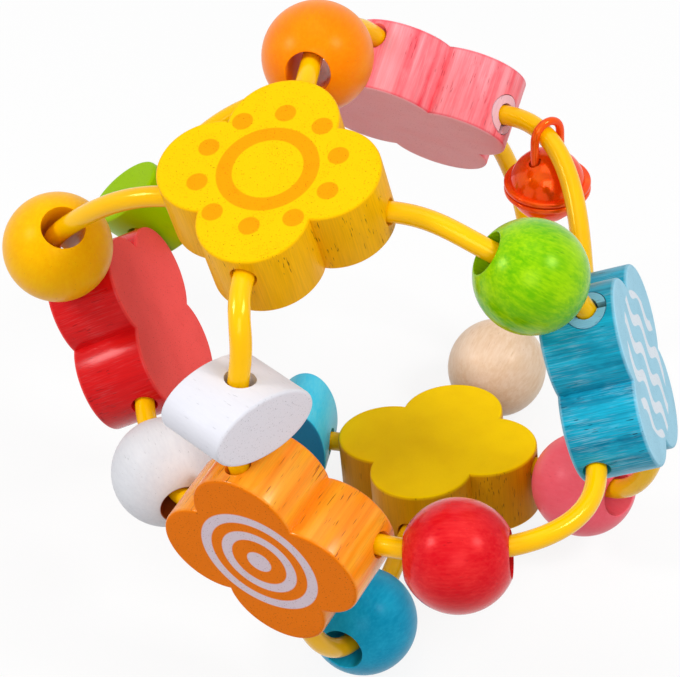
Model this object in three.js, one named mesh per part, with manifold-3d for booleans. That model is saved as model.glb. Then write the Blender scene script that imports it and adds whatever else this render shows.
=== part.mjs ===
// Baby activity ball: six flower-shaped wooden blocks strung on three plastic cords that cross
// inside the blocks, with beads and a jingle bell on the stretches of cord between the blocks.
// Millimetres and degrees, +Z up. The ball stands on three of its beads, as a round toy comes to rest.

import * as THREE from 'three';
import { mergeVertices } from 'three/addons/utils/BufferGeometryUtils.js';
import Module from 'manifold-3d';

// Flower blocks: a square with a half round petal on each side, cut from board
const BALL_RADIUS = 51.5;
const PETAL_RADIUS = 11;
const BOARD_THICKNESS = 15;
const BLOCK_EDGE_ROUND = 0.9;

// Cords, and the two bores that cross in each block at different depths
const CORD_DIAMETER = 4.1;
const BORE_DIAMETER = 5;
const WALL_BETWEEN_BORES = 0.6;

// Cord joint: the two ends meet in a sleeve, behind a split plug in a petal's tip
const PLUG_DIAMETER = 8;
const PLUG_LENGTH = 5;
const PLUG_SLIT = 1.2;
const SLEEVE_DIAMETER = 6.4;
const SLEEVE_LENGTH = 9;
const CORD_END_GAP = 0.4;

// Beads
const BEAD_DIAMETER = 22;
const BEAD_BORE = 8.4;
const BEAD_RIM_ROUND = 0.9;
const OVAL_LENGTH = 24.4;
const OVAL_HEIGHT = 13.8;
const OVAL_BORE = 6.2;
const OVAL_EDGE_ROUND = 0.7;

// Jingle bell: two sheet metal half shells with lips, a wire loop and a loose pellet
const BELL_DIAMETER = 15.4;
const BELL_LIP_DIAMETER = 17.6;
const BELL_LIP_THICKNESS = 1.1;
const BELL_WALL = 0.7;
const BELL_PELLET_DIAMETER = 4.5;
const BELL_SLOT_WIDTH = 1.4;
const BELL_SLOT_LENGTH = 10;
const BELL_SLOT_END_DIAMETER = 3;
const BELL_WIRE_DIAMETER = 1.8;
const BELL_LOOP_RISE = 7.6;
const BELL_LOOP_FOOT = 2;

// Reach of a quarter circle's control points, as a share of its radius
const QUARTER_HANDLE = 0.5523;

// Clearance between pieces that touch or slide
const FIT_GAP = 0.3;

// Facets
const PETAL_SEGMENTS = 5;
const EDGE_SEGMENTS = 2;
const BORE_SIDES = 16;
const CORD_SIDES = 8;
const CORD_STEPS = 76;
const BEAD_SIDES = 20;
const BEAD_ARC_STEPS = 8;
const OVAL_SEGMENTS = 14;
const BELL_SIDES = 16;
const BELL_ARC_STEPS = 4;
const WIRE_SIDES = 6;
const WIRE_STEPS = 24;
const PELLET_SEGMENTS = 10;
const PELLET_RINGS = 7;
const SPAN_SAMPLES = 200;
const FACET_ALLOWANCE = 0.15;
const WELD_DISTANCE = 1e-4;

// How the ball lies: its own axes turned into the frame of the table
const REST_TILT = [20.6, -10.4, 0];

// Each block faces out of the ball. The cords are soft, so it also leans and shifts a little.
const BLOCKS = {
  top: { facing: [0, 0, 1], shift: [0.5, -1, -1], lean: [-4, 6, 3] },
  back: { facing: [0, 1, 0], shift: [-1, 5, 4], lean: [13, -10, -9] },
  right: { facing: [1, 0, 0], shift: [0.5, -3, -2], lean: [0, -3, 17] },
  front: { facing: [0, -1, 0], shift: [-1, 3.5, 6], lean: [-14, -2, -10] },
  base: { facing: [0, 0, -1], shift: [0.5, 0, -0.5], lean: [-26, 5, 3] },
  left: { facing: [-1, 0, 0], shift: [0, -1, -0.5], lean: [0, -9, 21] },
};

// Each cord starts in the plug of its first block and comes back to it. A level of 1 is the
// bore near the block's outer face, and -1 the bore near its inner face.
const CORDS = {
  upright: { stops: ['base', 'back', 'top', 'front'], levels: [1, 1, 1, 1], plug: 'gold' },
  cross: { stops: ['right', 'top', 'left', 'base'], levels: [1, -1, 1, -1], plug: 'paleBlue' },
  girdle: { stops: ['back', 'right', 'front', 'left'], levels: [-1, -1, -1, -1], plug: 'palePink' },
};

// Reach of a span's control points, as a share of the straight line between its two petals
const SPAN_HANDLE = 0.39;

const COLOURS = {
  yellow: 0xf8d312,
  pink: 0xe59090,
  blue: 0x57b3cf,
  orange: 0xef7f1a,
  gold: 0xefbe08,
  red: 0xe0262c,
  paleBlue: 0x7fbad2,
  palePink: 0xe6c0ca,
  cord: 0xffc400,
  orangeBead: 0xf58a14,
  yellowBead: 0xf9bd15,
  greenBead: 0x82d60c,
  naturalBead: 0xe4cba8,
  pinkBead: 0xe3485c,
  redBead: 0xe23a3a,
  blueBead: 0x1a8fbd,
  white: 0xf4f4f4,
  teal: 0x35aecb,
  bell: 0xe2470f,
  steel: 0xb8b8b8,
};

const FINISHES = {
  paint: { roughness: 0.55, metalness: 0 },
  plastic: { roughness: 0.3, metalness: 0 },
  enamel: { roughness: 0.3, metalness: 0.3 },
  metal: { roughness: 0.35, metalness: 0.9 },
};

const BLOCK_COLOURS = {
  top: 'yellow',
  back: 'pink',
  right: 'blue',
  front: 'orange',
  base: 'gold',
  left: 'red',
};

// What hangs on each span of cord. The offset is how far its middle is from the petal of the first
// block along the cord, the bow is how far the span is pulled aside, and the turn is about the cord.
const ROUND_BEADS = {
  orange_bead: { between: ['top', 'back'], offset: 17, bow: [-1.6, -3, -1.3], colour: 'orangeBead' },
  yellow_bead: { between: ['left', 'top'], offset: 13.2, bow: [1.2, -1.3, -1.6], colour: 'yellowBead' },
  green_bead: { between: ['right', 'top'], offset: 13.6, bow: [-2.2, -2, -0.8], colour: 'greenBead' },
  natural_bead: {
    between: ['base', 'back'],
    offset: 15.2,
    bow: [3.5, 0, -4.5],
    underfoot: true,
    colour: 'naturalBead',
  },
  pink_bead: { between: ['base', 'right'], offset: 11.8, bow: [0, -5, 0], colour: 'pinkBead' },
  red_bead: { between: ['front', 'right'], offset: 14.3, bow: [0, 0, 0], colour: 'redBead' },
  blue_bead: {
    between: ['front', 'base'],
    offset: 26.5,
    bow: [0.5, -2.2, -2.2],
    underfoot: true,
    colour: 'blueBead',
  },
  white_bead: { between: ['front', 'left'], offset: 12.8, bow: [2.5, 1, -0.9], colour: 'white' },
};
const OVAL_BEADS = {
  white_oval_bead: {
    between: ['front', 'top'],
    offset: 12.4,
    bow: [3.3, 3.3, 2],
    turn: -17.7,
    colour: 'white',
  },
  green_oval_bead: {
    between: ['left', 'back'],
    offset: 8.6,
    bow: [0, 2, 1],
    turn: -32,
    colour: 'greenBead',
  },
  teal_oval_bead: {
    between: ['base', 'left'],
    offset: 9,
    bow: [4.5, 0.5, -3],
    turn: 27,
    underfoot: true,
    colour: 'teal',
  },
};
const BELL = { between: ['back', 'right'], offset: 10.6, bow: [0, 0, 0] };

// Sizes that follow from the driving dimensions
const cordRadius = CORD_DIAMETER / 2;
const boreRadius = BORE_DIAMETER / 2;
const boreLevel = (BORE_DIAMETER + WALL_BETWEEN_BORES) / 2;
const petalReach = 2 * PETAL_RADIUS;
const plugRadius = PLUG_DIAMETER / 2;
const plugHoleRadius = plugRadius + FIT_GAP;
const plugLevelShift = (plugHoleRadius - boreRadius) / 2;
const plugFloor = petalReach - PLUG_LENGTH - FIT_GAP;
const sleeveRadius = SLEEVE_DIAMETER / 2;
const sleeveOuterEnd = plugFloor - FIT_GAP;
const sleeveFloor = sleeveOuterEnd - SLEEVE_LENGTH - FIT_GAP;
const cordJoint = sleeveOuterEnd - SLEEVE_LENGTH / 2;
const cutOverrun = 2;

const degrees = THREE.MathUtils.degToRad;
const wasm = await Module();
wasm.setup();

// Solids: closed geometry to a solid for cutting, and back
function solid(geometry) {
  const bare = geometry.clone();
  bare.deleteAttribute('normal');
  bare.deleteAttribute('uv');
  const merged = mergeVertices(bare, WELD_DISTANCE);
  return new wasm.Manifold(
    new wasm.Mesh({
      numProp: 3,
      vertProperties: merged.attributes.position.array,
      triVerts: new Uint32Array(merged.index.array),
    }),
  );
}

function geometryOf(body) {
  const mesh = body.getMesh();
  const geometry = new THREE.BufferGeometry();
  geometry.setAttribute('position', new THREE.BufferAttribute(mesh.vertProperties, 3));
  geometry.setIndex(new THREE.BufferAttribute(mesh.triVerts, 1));
  geometry.computeVertexNormals();
  return geometry;
}

function piece(name, geometry, colour, finish) {
  const material = new THREE.MeshStandardMaterial({ color: COLOURS[colour], ...FINISHES[finish] });
  const mesh = new THREE.Mesh(geometry, material);
  mesh.name = name;
  return mesh;
}

function eulerOf(angles) {
  const [x, y, z] = angles.map(degrees);
  return new THREE.Euler(x, y, z, 'XYZ');
}

// Placing the blocks in the ball
function facingOf(block) {
  return new THREE.Vector3(...BLOCKS[block].facing);
}

function leanOf(block) {
  return new THREE.Quaternion().setFromEuler(eulerOf(BLOCKS[block].lean));
}

function centreOf(block) {
  const shift = new THREE.Vector3(...BLOCKS[block].shift);
  return facingOf(block).multiplyScalar(BALL_RADIUS).add(shift);
}

function attitudeOf(block) {
  const outward = new THREE.Quaternion();
  outward.setFromUnitVectors(new THREE.Vector3(0, 0, 1), facingOf(block));
  return leanOf(block).multiply(outward);
}

// Height of a cord's bore above the block's middle plane. Both bores of a block that holds a plug
// move over, so that the wider plug hole and the other bore leave equal walls.
function boreHeight(cord, block) {
  const level = CORDS[cord].levels[CORDS[cord].stops.indexOf(block)];
  const plugged = Object.values(CORDS).find((other) => other.stops[0] === block);
  const shift = plugged ? -plugged.levels[0] * plugLevelShift : 0;
  return level * boreLevel + shift;
}

// A point on a bore's axis, measured from the block's middle towards a neighbouring block
function borePoint(cord, block, towards, distance) {
  const along = facingOf(towards).multiplyScalar(distance);
  const up = facingOf(block).multiplyScalar(boreHeight(cord, block));
  return along.add(up).applyQuaternion(leanOf(block)).add(centreOf(block));
}

function boreDirection(block, towards) {
  return facingOf(towards).applyQuaternion(leanOf(block));
}

// Spans: the free stretch of cord from one block's petal to the next block's petal
const STRUNG = [...Object.values(ROUND_BEADS), ...Object.values(OVAL_BEADS), BELL];

function makeSpan(cord, from, to) {
  const strung = STRUNG.find(({ between }) => between.includes(from) && between.includes(to));
  const bow = new THREE.Vector3(...strung.bow);
  const start = borePoint(cord, from, to, petalReach);
  const end = borePoint(cord, to, from, petalReach);
  const handle = start.distanceTo(end) * SPAN_HANDLE;
  const leave = start.clone().addScaledVector(boreDirection(from, to), handle);
  const arrive = end.clone().addScaledVector(boreDirection(to, from), handle);

  // The curve is halved, and its middle and the control points beside it take the bow, so that
  // the cord still leaves both bores straight.
  const halfway = (first, second) => first.clone().lerp(second, 0.5);
  const crest = halfway(leave, arrive);
  const before = halfway(halfway(start, leave), crest);
  const after = halfway(crest, halfway(arrive, end));
  const middle = halfway(before, after).add(bow);
  before.add(bow);
  after.add(bow);
  const span = new THREE.CurvePath();
  span.add(new THREE.CubicBezierCurve3(start, halfway(start, leave), before, middle));
  span.add(new THREE.CubicBezierCurve3(middle, after, halfway(arrive, end), end));
  return span;
}

function spanBetween([from, to]) {
  const [name] = Object.entries(CORDS).find(
    ([, cord]) => cord.stops.includes(from) && cord.stops.includes(to),
  );
  return makeSpan(name, from, to);
}

// A point at this distance along a span. Past its ends the cord runs on straight in the bores.
function alongSpan(span, distance) {
  const length = span.getLength();
  const share = THREE.MathUtils.clamp(distance / length, 0, 1);
  const point = span.getPointAt(share);
  return point.addScaledVector(span.getTangentAt(share), distance - share * length);
}

function cordRoute(cord) {
  const { stops } = CORDS[cord];
  const route = new THREE.CurvePath();
  stops.forEach((block, index) => {
    const next = stops[(index + 1) % stops.length];
    const begin = index === 0 ? cordJoint + CORD_END_GAP / 2 : -petalReach;
    const inside = borePoint(cord, block, next, begin);
    const mouth = borePoint(cord, block, next, petalReach);
    route.add(new THREE.LineCurve3(inside, mouth));
    makeSpan(cord, block, next).curves.forEach((curve) => route.add(curve));
  });
  const [first, second] = stops;
  const mouth = borePoint(cord, first, second, -petalReach);
  const end = borePoint(cord, first, second, cordJoint - CORD_END_GAP / 2);
  route.add(new THREE.LineCurve3(mouth, end));
  return route;
}

function roundSection(radius, sides) {
  const section = new THREE.Shape();
  for (let side = 0; side < sides; side += 1) {
    const angle = (2 * Math.PI * side) / sides;
    const x = radius * Math.cos(angle);
    const y = radius * Math.sin(angle);
    if (side === 0) section.moveTo(x, y);
    else section.lineTo(x, y);
  }
  section.closePath();
  return section;
}

function makeCord(cord) {
  const geometry = new THREE.ExtrudeGeometry(roundSection(cordRadius, CORD_SIDES), {
    extrudePath: cordRoute(cord),
    steps: CORD_STEPS,
    bevelEnabled: false,
  });
  return piece(`${cord}_cord`, geometry, 'cord', 'plastic');
}

// Flower blocks
function flowerOutline() {
  const outline = new THREE.Shape();
  for (let petal = 0; petal < 4; petal += 1) {
    const middle = (petal * Math.PI) / 2;
    const x = PETAL_RADIUS * Math.round(Math.cos(middle));
    const y = PETAL_RADIUS * Math.round(Math.sin(middle));
    outline.absarc(x, y, PETAL_RADIUS, middle - Math.PI / 2, middle + Math.PI / 2);
  }
  return outline;
}

function flowerBlank() {
  const blank = new THREE.ExtrudeGeometry(flowerOutline(), {
    depth: BOARD_THICKNESS - 2 * BLOCK_EDGE_ROUND,
    curveSegments: PETAL_SEGMENTS,
    bevelThickness: BLOCK_EDGE_ROUND,
    bevelSize: BLOCK_EDGE_ROUND,
    bevelOffset: -BLOCK_EDGE_ROUND,
    bevelSegments: EDGE_SEGMENTS,
  });
  return blank.translate(0, 0, BLOCK_EDGE_ROUND - BOARD_THICKNESS / 2);
}

// Turns a shape made along +Y into a bore's place in its block's own frame
function alongBore(geometry, cord, block, towards) {
  const unturn = new THREE.Quaternion().setFromUnitVectors(
    new THREE.Vector3(0, 0, 1),
    facingOf(block),
  );
  const direction = facingOf(towards).applyQuaternion(unturn.invert());
  const turn = new THREE.Quaternion().setFromUnitVectors(new THREE.Vector3(0, 1, 0), direction);
  geometry.applyQuaternion(turn);
  return geometry.translate(0, 0, boreHeight(cord, block));
}

function revolve(profile, sides) {
  const points = profile.map(([radius, height]) => new THREE.Vector2(radius, height));
  return new THREE.LatheGeometry(points, sides);
}

function steppedPlugHole() {
  const sleeveHoleRadius = sleeveRadius + FIT_GAP;
  const outside = petalReach + cutOverrun;
  return revolve(
    [
      [0, sleeveFloor],
      [sleeveHoleRadius, sleeveFloor],
      [sleeveHoleRadius, plugFloor],
      [plugHoleRadius, plugFloor],
      [plugHoleRadius, outside],
      [0, outside],
    ],
    BORE_SIDES,
  );
}

function makeFlower(block) {
  let body = solid(flowerBlank());
  const boreLength = 2 * (petalReach + cutOverrun);
  for (const [cord, { stops }] of Object.entries(CORDS)) {
    const index = stops.indexOf(block);
    if (index < 0) continue;
    const next = stops[(index + 1) % stops.length];
    const bore = new THREE.CylinderGeometry(boreRadius, boreRadius, boreLength, BORE_SIDES);
    body = body.subtract(solid(alongBore(bore, cord, block, next)));
    if (index === 0) {
      body = body.subtract(solid(alongBore(steppedPlugHole(), cord, block, next)));
    }
  }
  const colour = BLOCK_COLOURS[block];
  const shade = colour === 'gold' ? 'yellow' : colour;
  const mesh = piece(`${shade}_${block}_flower`, geometryOf(body), colour, 'paint');
  mesh.position.copy(centreOf(block));
  mesh.quaternion.copy(attitudeOf(block));
  return mesh;
}

// Cord joint pieces, in the frame of the block that holds them
function makePlug(cord) {
  const [block, next] = CORDS[cord].stops;
  const hole = cordRadius + FIT_GAP;
  const inner = plugFloor + FIT_GAP;
  const outer = petalReach + cutOverrun;
  const collar = revolve(
    [
      [hole, inner],
      [plugRadius, inner],
      [plugRadius, outer],
      [hole, outer],
      [hole, inner],
    ],
    BORE_SIDES,
  );
  const slit = new THREE.BoxGeometry(PLUG_DIAMETER, 2 * outer, PLUG_SLIT);
  slit.translate(plugRadius, 0, 0);
  const split = solid(collar).subtract(solid(slit));
  const placed = solid(alongBore(geometryOf(split), cord, block, next));
  const flush = placed.intersect(solid(flowerBlank()));
  const mesh = piece(`${cord}_plug`, geometryOf(flush), CORDS[cord].plug, 'paint');
  mesh.position.copy(centreOf(block));
  mesh.quaternion.copy(attitudeOf(block));
  return mesh;
}

function makeSleeve(cord) {
  const [block, next] = CORDS[cord].stops;
  const hole = cordRadius + FIT_GAP;
  const inner = sleeveOuterEnd - SLEEVE_LENGTH;
  const tube = revolve(
    [
      [hole, inner],
      [sleeveRadius, inner],
      [sleeveRadius, sleeveOuterEnd],
      [hole, sleeveOuterEnd],
      [hole, inner],
    ],
    BORE_SIDES,
  );
  const mesh = piece(`${cord}_sleeve`, alongBore(tube, cord, block, next), 'steel', 'metal');
  mesh.position.copy(centreOf(block));
  mesh.quaternion.copy(attitudeOf(block));
  return mesh;
}

// Beads on the cord
const restTurn = new THREE.Quaternion().setFromEuler(eulerOf(REST_TILT));
const upward = new THREE.Vector3(0, 0, 1).applyQuaternion(restTurn.clone().invert());
const downward = upward.clone().negate();

// A bead is pulled across its bent cord until its bore lies FIT_GAP from it: how far its middle is
// then from the frame's origin, for a bore of this radius and half length along the frame's Y axis.
function settleOnCord(span, frame, bore, halfLength, pull) {
  const toBead = frame.clone().invert();
  const fall = pull.clone().transformDirection(toBead).setY(0).normalize();
  const side = fall.clone().cross(new THREE.Vector3(0, 1, 0));
  const inBore = span
    .getSpacedPoints(SPAN_SAMPLES)
    .map((point) => point.applyMatrix4(toBead))
    .filter((point) => Math.abs(point.y) < halfLength);
  const sideways = inBore.map((point) => point.dot(side));
  const middle = (Math.min(...sideways) + Math.max(...sideways)) / 2;
  const room = bore - cordRadius - FIT_GAP - FACET_ALLOWANCE;
  const drops = inBore.map((point, index) => {
    const aside = sideways[index] - middle;
    return point.dot(fall) + Math.sqrt(Math.max(room ** 2 - aside ** 2, 0));
  });
  return fall.multiplyScalar(Math.min(...drops)).addScaledVector(side, middle);
}

// Threads a bead, made with its bore along Y, on its span: the bore follows the cord, and X points
// out of the ball before the bead is turned about the cord. A bead hangs down on its cord, but one
// that the ball stands on is pushed up against it.
function threadBead(mesh, { between, offset, turn = 0, underfoot }, bore, halfLength) {
  const span = spanBetween(between);
  const middle = alongSpan(span, offset);
  const along = alongSpan(span, offset + halfLength);
  along.sub(alongSpan(span, offset - halfLength)).normalize();
  const outward = middle.clone();
  outward.addScaledVector(along, -outward.dot(along)).normalize();
  const across = outward.clone().cross(along);
  const frame = new THREE.Matrix4().makeBasis(outward, along, across).setPosition(middle);
  const thread = new THREE.Group();
  frame.decompose(thread.position, thread.quaternion, thread.scale);
  const pull = underfoot ? upward : downward;
  mesh.position.copy(settleOnCord(span, frame, bore, halfLength, pull));
  mesh.rotation.y = degrees(turn);
  thread.add(mesh);
  return thread;
}

const beadRadius = BEAD_DIAMETER / 2;
const beadBoreRadius = BEAD_BORE / 2;
const beadRimRadius = beadBoreRadius + BEAD_RIM_ROUND;
const beadHalfLength = Math.sqrt(beadRadius ** 2 - beadRimRadius ** 2);

function beadShape() {
  const wallEnd = beadHalfLength - BEAD_RIM_ROUND / 2;
  const rim = Math.asin(beadHalfLength / beadRadius);
  const profile = [[beadBoreRadius, -wallEnd]];
  for (let step = 0; step <= BEAD_ARC_STEPS; step += 1) {
    const angle = -rim + (2 * rim * step) / BEAD_ARC_STEPS;
    profile.push([beadRadius * Math.cos(angle), beadRadius * Math.sin(angle)]);
  }
  profile.push([beadBoreRadius, wallEnd], [beadBoreRadius, -wallEnd]);
  return revolve(profile, BEAD_SIDES);
}

function ovalShape() {
  const outline = new THREE.Shape();
  outline.absellipse(0, 0, OVAL_LENGTH / 2, OVAL_HEIGHT / 2, 0, 2 * Math.PI);
  const blank = new THREE.ExtrudeGeometry(outline, {
    depth: BOARD_THICKNESS - 2 * OVAL_EDGE_ROUND,
    curveSegments: OVAL_SEGMENTS,
    bevelThickness: OVAL_EDGE_ROUND,
    bevelSize: OVAL_EDGE_ROUND,
    bevelOffset: -OVAL_EDGE_ROUND,
    bevelSegments: EDGE_SEGMENTS,
  });
  blank.translate(0, 0, OVAL_EDGE_ROUND - BOARD_THICKNESS / 2);
  const radius = OVAL_BORE / 2;
  const bore = new THREE.CylinderGeometry(radius, radius, 2 * OVAL_HEIGHT, BORE_SIDES);
  return geometryOf(solid(blank).subtract(solid(bore)));
}

// Jingle bell, with its middle at the seam of the two shells and its loop on top
const bellRadius = BELL_DIAMETER / 2;
const bellInside = bellRadius - BELL_WALL;
const bellLipRadius = BELL_LIP_DIAMETER / 2;
const wireRadius = BELL_WIRE_DIAMETER / 2;
const loopHalfWidth = cordRadius + FIT_GAP + wireRadius;
const loopTop = bellRadius + BELL_LOOP_RISE;

// Half shell above the seam, with a lip round its mouth. The profile runs round the wall.
function halfShell() {
  const seam = FIT_GAP / 2;
  const lipTop = seam + BELL_LIP_THICKNESS;
  const outerStart = Math.asin(lipTop / bellRadius);
  const innerStart = Math.asin(seam / bellInside);
  const profile = [
    [bellInside * Math.cos(innerStart), seam],
    [bellLipRadius, seam],
    [bellLipRadius, lipTop],
  ];
  for (let step = 0; step <= BELL_ARC_STEPS; step += 1) {
    const angle = outerStart + ((Math.PI / 2 - outerStart) * step) / BELL_ARC_STEPS;
    const radius = step === BELL_ARC_STEPS ? 0 : bellRadius * Math.cos(angle);
    profile.push([radius, bellRadius * Math.sin(angle)]);
  }
  for (let step = BELL_ARC_STEPS; step >= 0; step -= 1) {
    const angle = innerStart + ((Math.PI / 2 - innerStart) * step) / BELL_ARC_STEPS;
    const radius = step === BELL_ARC_STEPS ? 0 : bellInside * Math.cos(angle);
    profile.push([radius, bellInside * Math.sin(angle)]);
  }
  return revolve(profile, BELL_SIDES).rotateX(Math.PI / 2);
}

function upperShell() {
  let body = solid(halfShell());
  const hole = wireRadius + FIT_GAP;
  for (const side of [-1, 1]) {
    const leg = new THREE.CylinderGeometry(hole, hole, BELL_DIAMETER, BORE_SIDES);
    leg.rotateX(Math.PI / 2);
    leg.translate(side * loopHalfWidth, 0, bellRadius);
    body = body.subtract(solid(leg));
  }
  return geometryOf(body);
}

function lowerShell() {
  let body = solid(halfShell().rotateX(Math.PI));
  const endRadius = BELL_SLOT_END_DIAMETER / 2;
  for (const turn of [0, Math.PI / 2]) {
    const slot = new THREE.BoxGeometry(BELL_SLOT_LENGTH, BELL_SLOT_WIDTH, BELL_DIAMETER);
    slot.translate(0, 0, -bellRadius);
    body = body.subtract(solid(slot.rotateZ(turn)));
    for (const side of [-1, 1]) {
      const end = new THREE.CylinderGeometry(endRadius, endRadius, BELL_DIAMETER, BORE_SIDES);
      end.rotateX(Math.PI / 2);
      end.translate((side * BELL_SLOT_LENGTH) / 2, 0, -bellRadius);
      body = body.subtract(solid(end.rotateZ(turn)));
    }
  }
  return geometryOf(body);
}

// Wire loop: an arch over the cord, with legs through the dome and feet turned out inside it
function wireLoop() {
  const footHeight = Math.sqrt(bellInside ** 2 - (loopHalfWidth + BELL_LOOP_FOOT) ** 2);
  const foot = footHeight - wireRadius - FIT_GAP - 2 * FACET_ALLOWANCE;
  const springing = loopTop - loopHalfWidth;
  const kappa = loopHalfWidth * QUARTER_HANDLE;
  const route = new THREE.CurvePath();
  const at = (x, z) => new THREE.Vector3(x, 0, z);
  const w = loopHalfWidth;
  const bend = wireRadius * 2;
  route.add(new THREE.LineCurve3(at(-w - BELL_LOOP_FOOT, foot), at(-w - bend, foot)));
  route.add(
    new THREE.QuadraticBezierCurve3(at(-w - bend, foot), at(-w, foot), at(-w, foot + bend)),
  );
  route.add(new THREE.LineCurve3(at(-w, foot + bend), at(-w, springing)));
  route.add(
    new THREE.CubicBezierCurve3(
      at(-w, springing),
      at(-w, springing + kappa),
      at(-kappa, loopTop),
      at(0, loopTop),
    ),
  );
  route.add(
    new THREE.CubicBezierCurve3(
      at(0, loopTop),
      at(kappa, loopTop),
      at(w, springing + kappa),
      at(w, springing),
    ),
  );
  route.add(new THREE.LineCurve3(at(w, springing), at(w, foot + bend)));
  route.add(new THREE.QuadraticBezierCurve3(at(w, foot + bend), at(w, foot), at(w + bend, foot)));
  route.add(new THREE.LineCurve3(at(w + bend, foot), at(w + BELL_LOOP_FOOT, foot)));
  return new THREE.ExtrudeGeometry(roundSection(wireRadius, WIRE_SIDES), {
    extrudePath: route,
    steps: WIRE_STEPS,
    bevelEnabled: false,
  });
}

function makeBell() {
  const bell = new THREE.Group();
  const pellet = new THREE.SphereGeometry(BELL_PELLET_DIAMETER / 2, PELLET_SEGMENTS, PELLET_RINGS);
  pellet.translate(0, 0, BELL_PELLET_DIAMETER / 2 + FIT_GAP - bellInside);
  bell.add(piece('bell_upper_shell', upperShell(), 'bell', 'enamel'));
  bell.add(piece('bell_lower_shell', lowerShell(), 'bell', 'enamel'));
  bell.add(piece('bell_loop', wireLoop(), 'bell', 'enamel'));
  bell.add(piece('bell_pellet', pellet, 'steel', 'metal'));

  // The bell hangs straight down by its loop, which the cord passes through at a slant
  const span = spanBetween(BELL.between);
  const tangent = span.getTangentAt(BELL.offset / span.getLength());
  const along = tangent.clone().addScaledVector(upward, -tangent.dot(upward)).normalize();
  const slant = tangent.dot(along);
  const across = along.clone().cross(upward);
  const pivot = new THREE.Group();
  pivot.quaternion.setFromRotationMatrix(new THREE.Matrix4().makeBasis(across, along, upward));
  pivot.position.copy(alongSpan(span, BELL.offset));
  bell.position.z = (cordRadius + wireRadius + FIT_GAP) / slant - loopTop;
  pivot.add(bell);
  return pivot;
}

// Assembly
const ball = new THREE.Group();
for (const block of Object.keys(BLOCKS)) ball.add(makeFlower(block));
for (const cord of Object.keys(CORDS)) {
  ball.add(makeCord(cord), makePlug(cord), makeSleeve(cord));
}
const beadGeometry = beadShape();
for (const [name, bead] of Object.entries(ROUND_BEADS)) {
  const mesh = piece(name, beadGeometry, bead.colour, 'paint');
  ball.add(threadBead(mesh, bead, beadBoreRadius, beadHalfLength));
}
const ovalGeometry = ovalShape();
for (const [name, bead] of Object.entries(OVAL_BEADS)) {
  const mesh = piece(name, ovalGeometry, bead.colour, 'paint');
  ball.add(threadBead(mesh, bead, OVAL_BORE / 2, OVAL_HEIGHT / 2));
}
ball.add(makeBell());

ball.quaternion.copy(restTurn);
const box = new THREE.Box3().setFromObject(ball, true);
const middle = box.getCenter(new THREE.Vector3());
ball.position.set(-middle.x, -middle.y, -box.min.z);

const activityBall = new THREE.Group();
activityBall.add(ball);

export default activityBall;
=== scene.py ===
"""Looks of the baby activity ball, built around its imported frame.

Metres, +Z up. Each piece that shows is modelled again with finer curves at its node's place, and
takes a finish with the wood's grain, the paint or the plastic that the real piece has.
"""

import logging
import math
from dataclasses import dataclass
from enum import Enum
from typing import Any

import bmesh
import bpy
import numpy as np
from bmesh.types import BMEdge, BMesh, BMVert
from bpy.types import Material, Node, NodeSocket, Object
from mathutils import Euler, Matrix, Vector


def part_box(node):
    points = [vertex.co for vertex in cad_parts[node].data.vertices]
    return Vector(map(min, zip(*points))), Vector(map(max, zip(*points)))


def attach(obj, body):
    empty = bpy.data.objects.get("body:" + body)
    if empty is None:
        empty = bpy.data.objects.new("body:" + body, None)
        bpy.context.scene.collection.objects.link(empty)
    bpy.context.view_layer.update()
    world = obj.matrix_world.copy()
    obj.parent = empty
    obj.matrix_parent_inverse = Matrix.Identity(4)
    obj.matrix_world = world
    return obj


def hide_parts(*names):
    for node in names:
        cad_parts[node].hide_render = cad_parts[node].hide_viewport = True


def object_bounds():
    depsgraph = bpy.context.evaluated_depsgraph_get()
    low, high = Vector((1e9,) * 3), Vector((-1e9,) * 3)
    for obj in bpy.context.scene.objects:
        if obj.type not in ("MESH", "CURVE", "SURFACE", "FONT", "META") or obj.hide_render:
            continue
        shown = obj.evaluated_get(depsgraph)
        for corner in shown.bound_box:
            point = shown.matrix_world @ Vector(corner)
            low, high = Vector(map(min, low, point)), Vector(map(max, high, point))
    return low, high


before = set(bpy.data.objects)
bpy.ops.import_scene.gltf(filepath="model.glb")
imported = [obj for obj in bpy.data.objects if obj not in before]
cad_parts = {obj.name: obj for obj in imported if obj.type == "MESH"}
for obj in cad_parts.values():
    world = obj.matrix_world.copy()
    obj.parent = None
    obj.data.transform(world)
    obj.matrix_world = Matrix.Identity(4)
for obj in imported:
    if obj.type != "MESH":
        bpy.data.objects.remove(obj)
CAD_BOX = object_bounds()
BALL_MIDDLE = (CAD_BOX[0] + CAD_BOX[1]) / 2

log = logging.getLogger("activity_ball")

CORD_NAMES = ("upright_cord", "cross_cord", "girdle_cord")
FRAME_BODY = "strung_frame"
BELL_BODY = "bell"

# Sizes that several pieces share, in metres
MILLIMETRE = 0.001
PETAL_RADIUS = 0.01075
PETAL_REACH = 2 * PETAL_RADIUS
BOARD_THICKNESS = 0.015
BOARD_EDGE = 0.0006
FACE_INSET = BOARD_EDGE / 2
BORE_RADIUS = 0.0025
BEAD_BORE_RADIUS = 0.00435
LOOSE_BORE_RADIUS = 0.00455
CORD_RADIUS = 0.00205
CORD_SIDES = 8
WIRE_RADIUS = 0.0009
WIRE_SIDES = 6

# Finer curves than the frame's
PETAL_STEPS = 40
BEAD_STEPS = 72
BORE_STEPS = 40
SHELL_STEPS = 14
BEVEL_STEPS = 4
TUBE_LEVELS = 2
TUBE_SHRINK = 0.00003
CUT_OVERRUN = 0.002
WELD_DISTANCE = 0.000002
LIP_MATCH = 0.00001
SMOOTH_ANGLE = math.radians(38)

# How the frame's nodes are read
FLAT_FACE_MATCH = 0.9999
TIP_MATCH = 0.00005
MERGE_DIGITS = 7
PETAL_PICK = (1.0, 0.3, 0.2)

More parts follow.
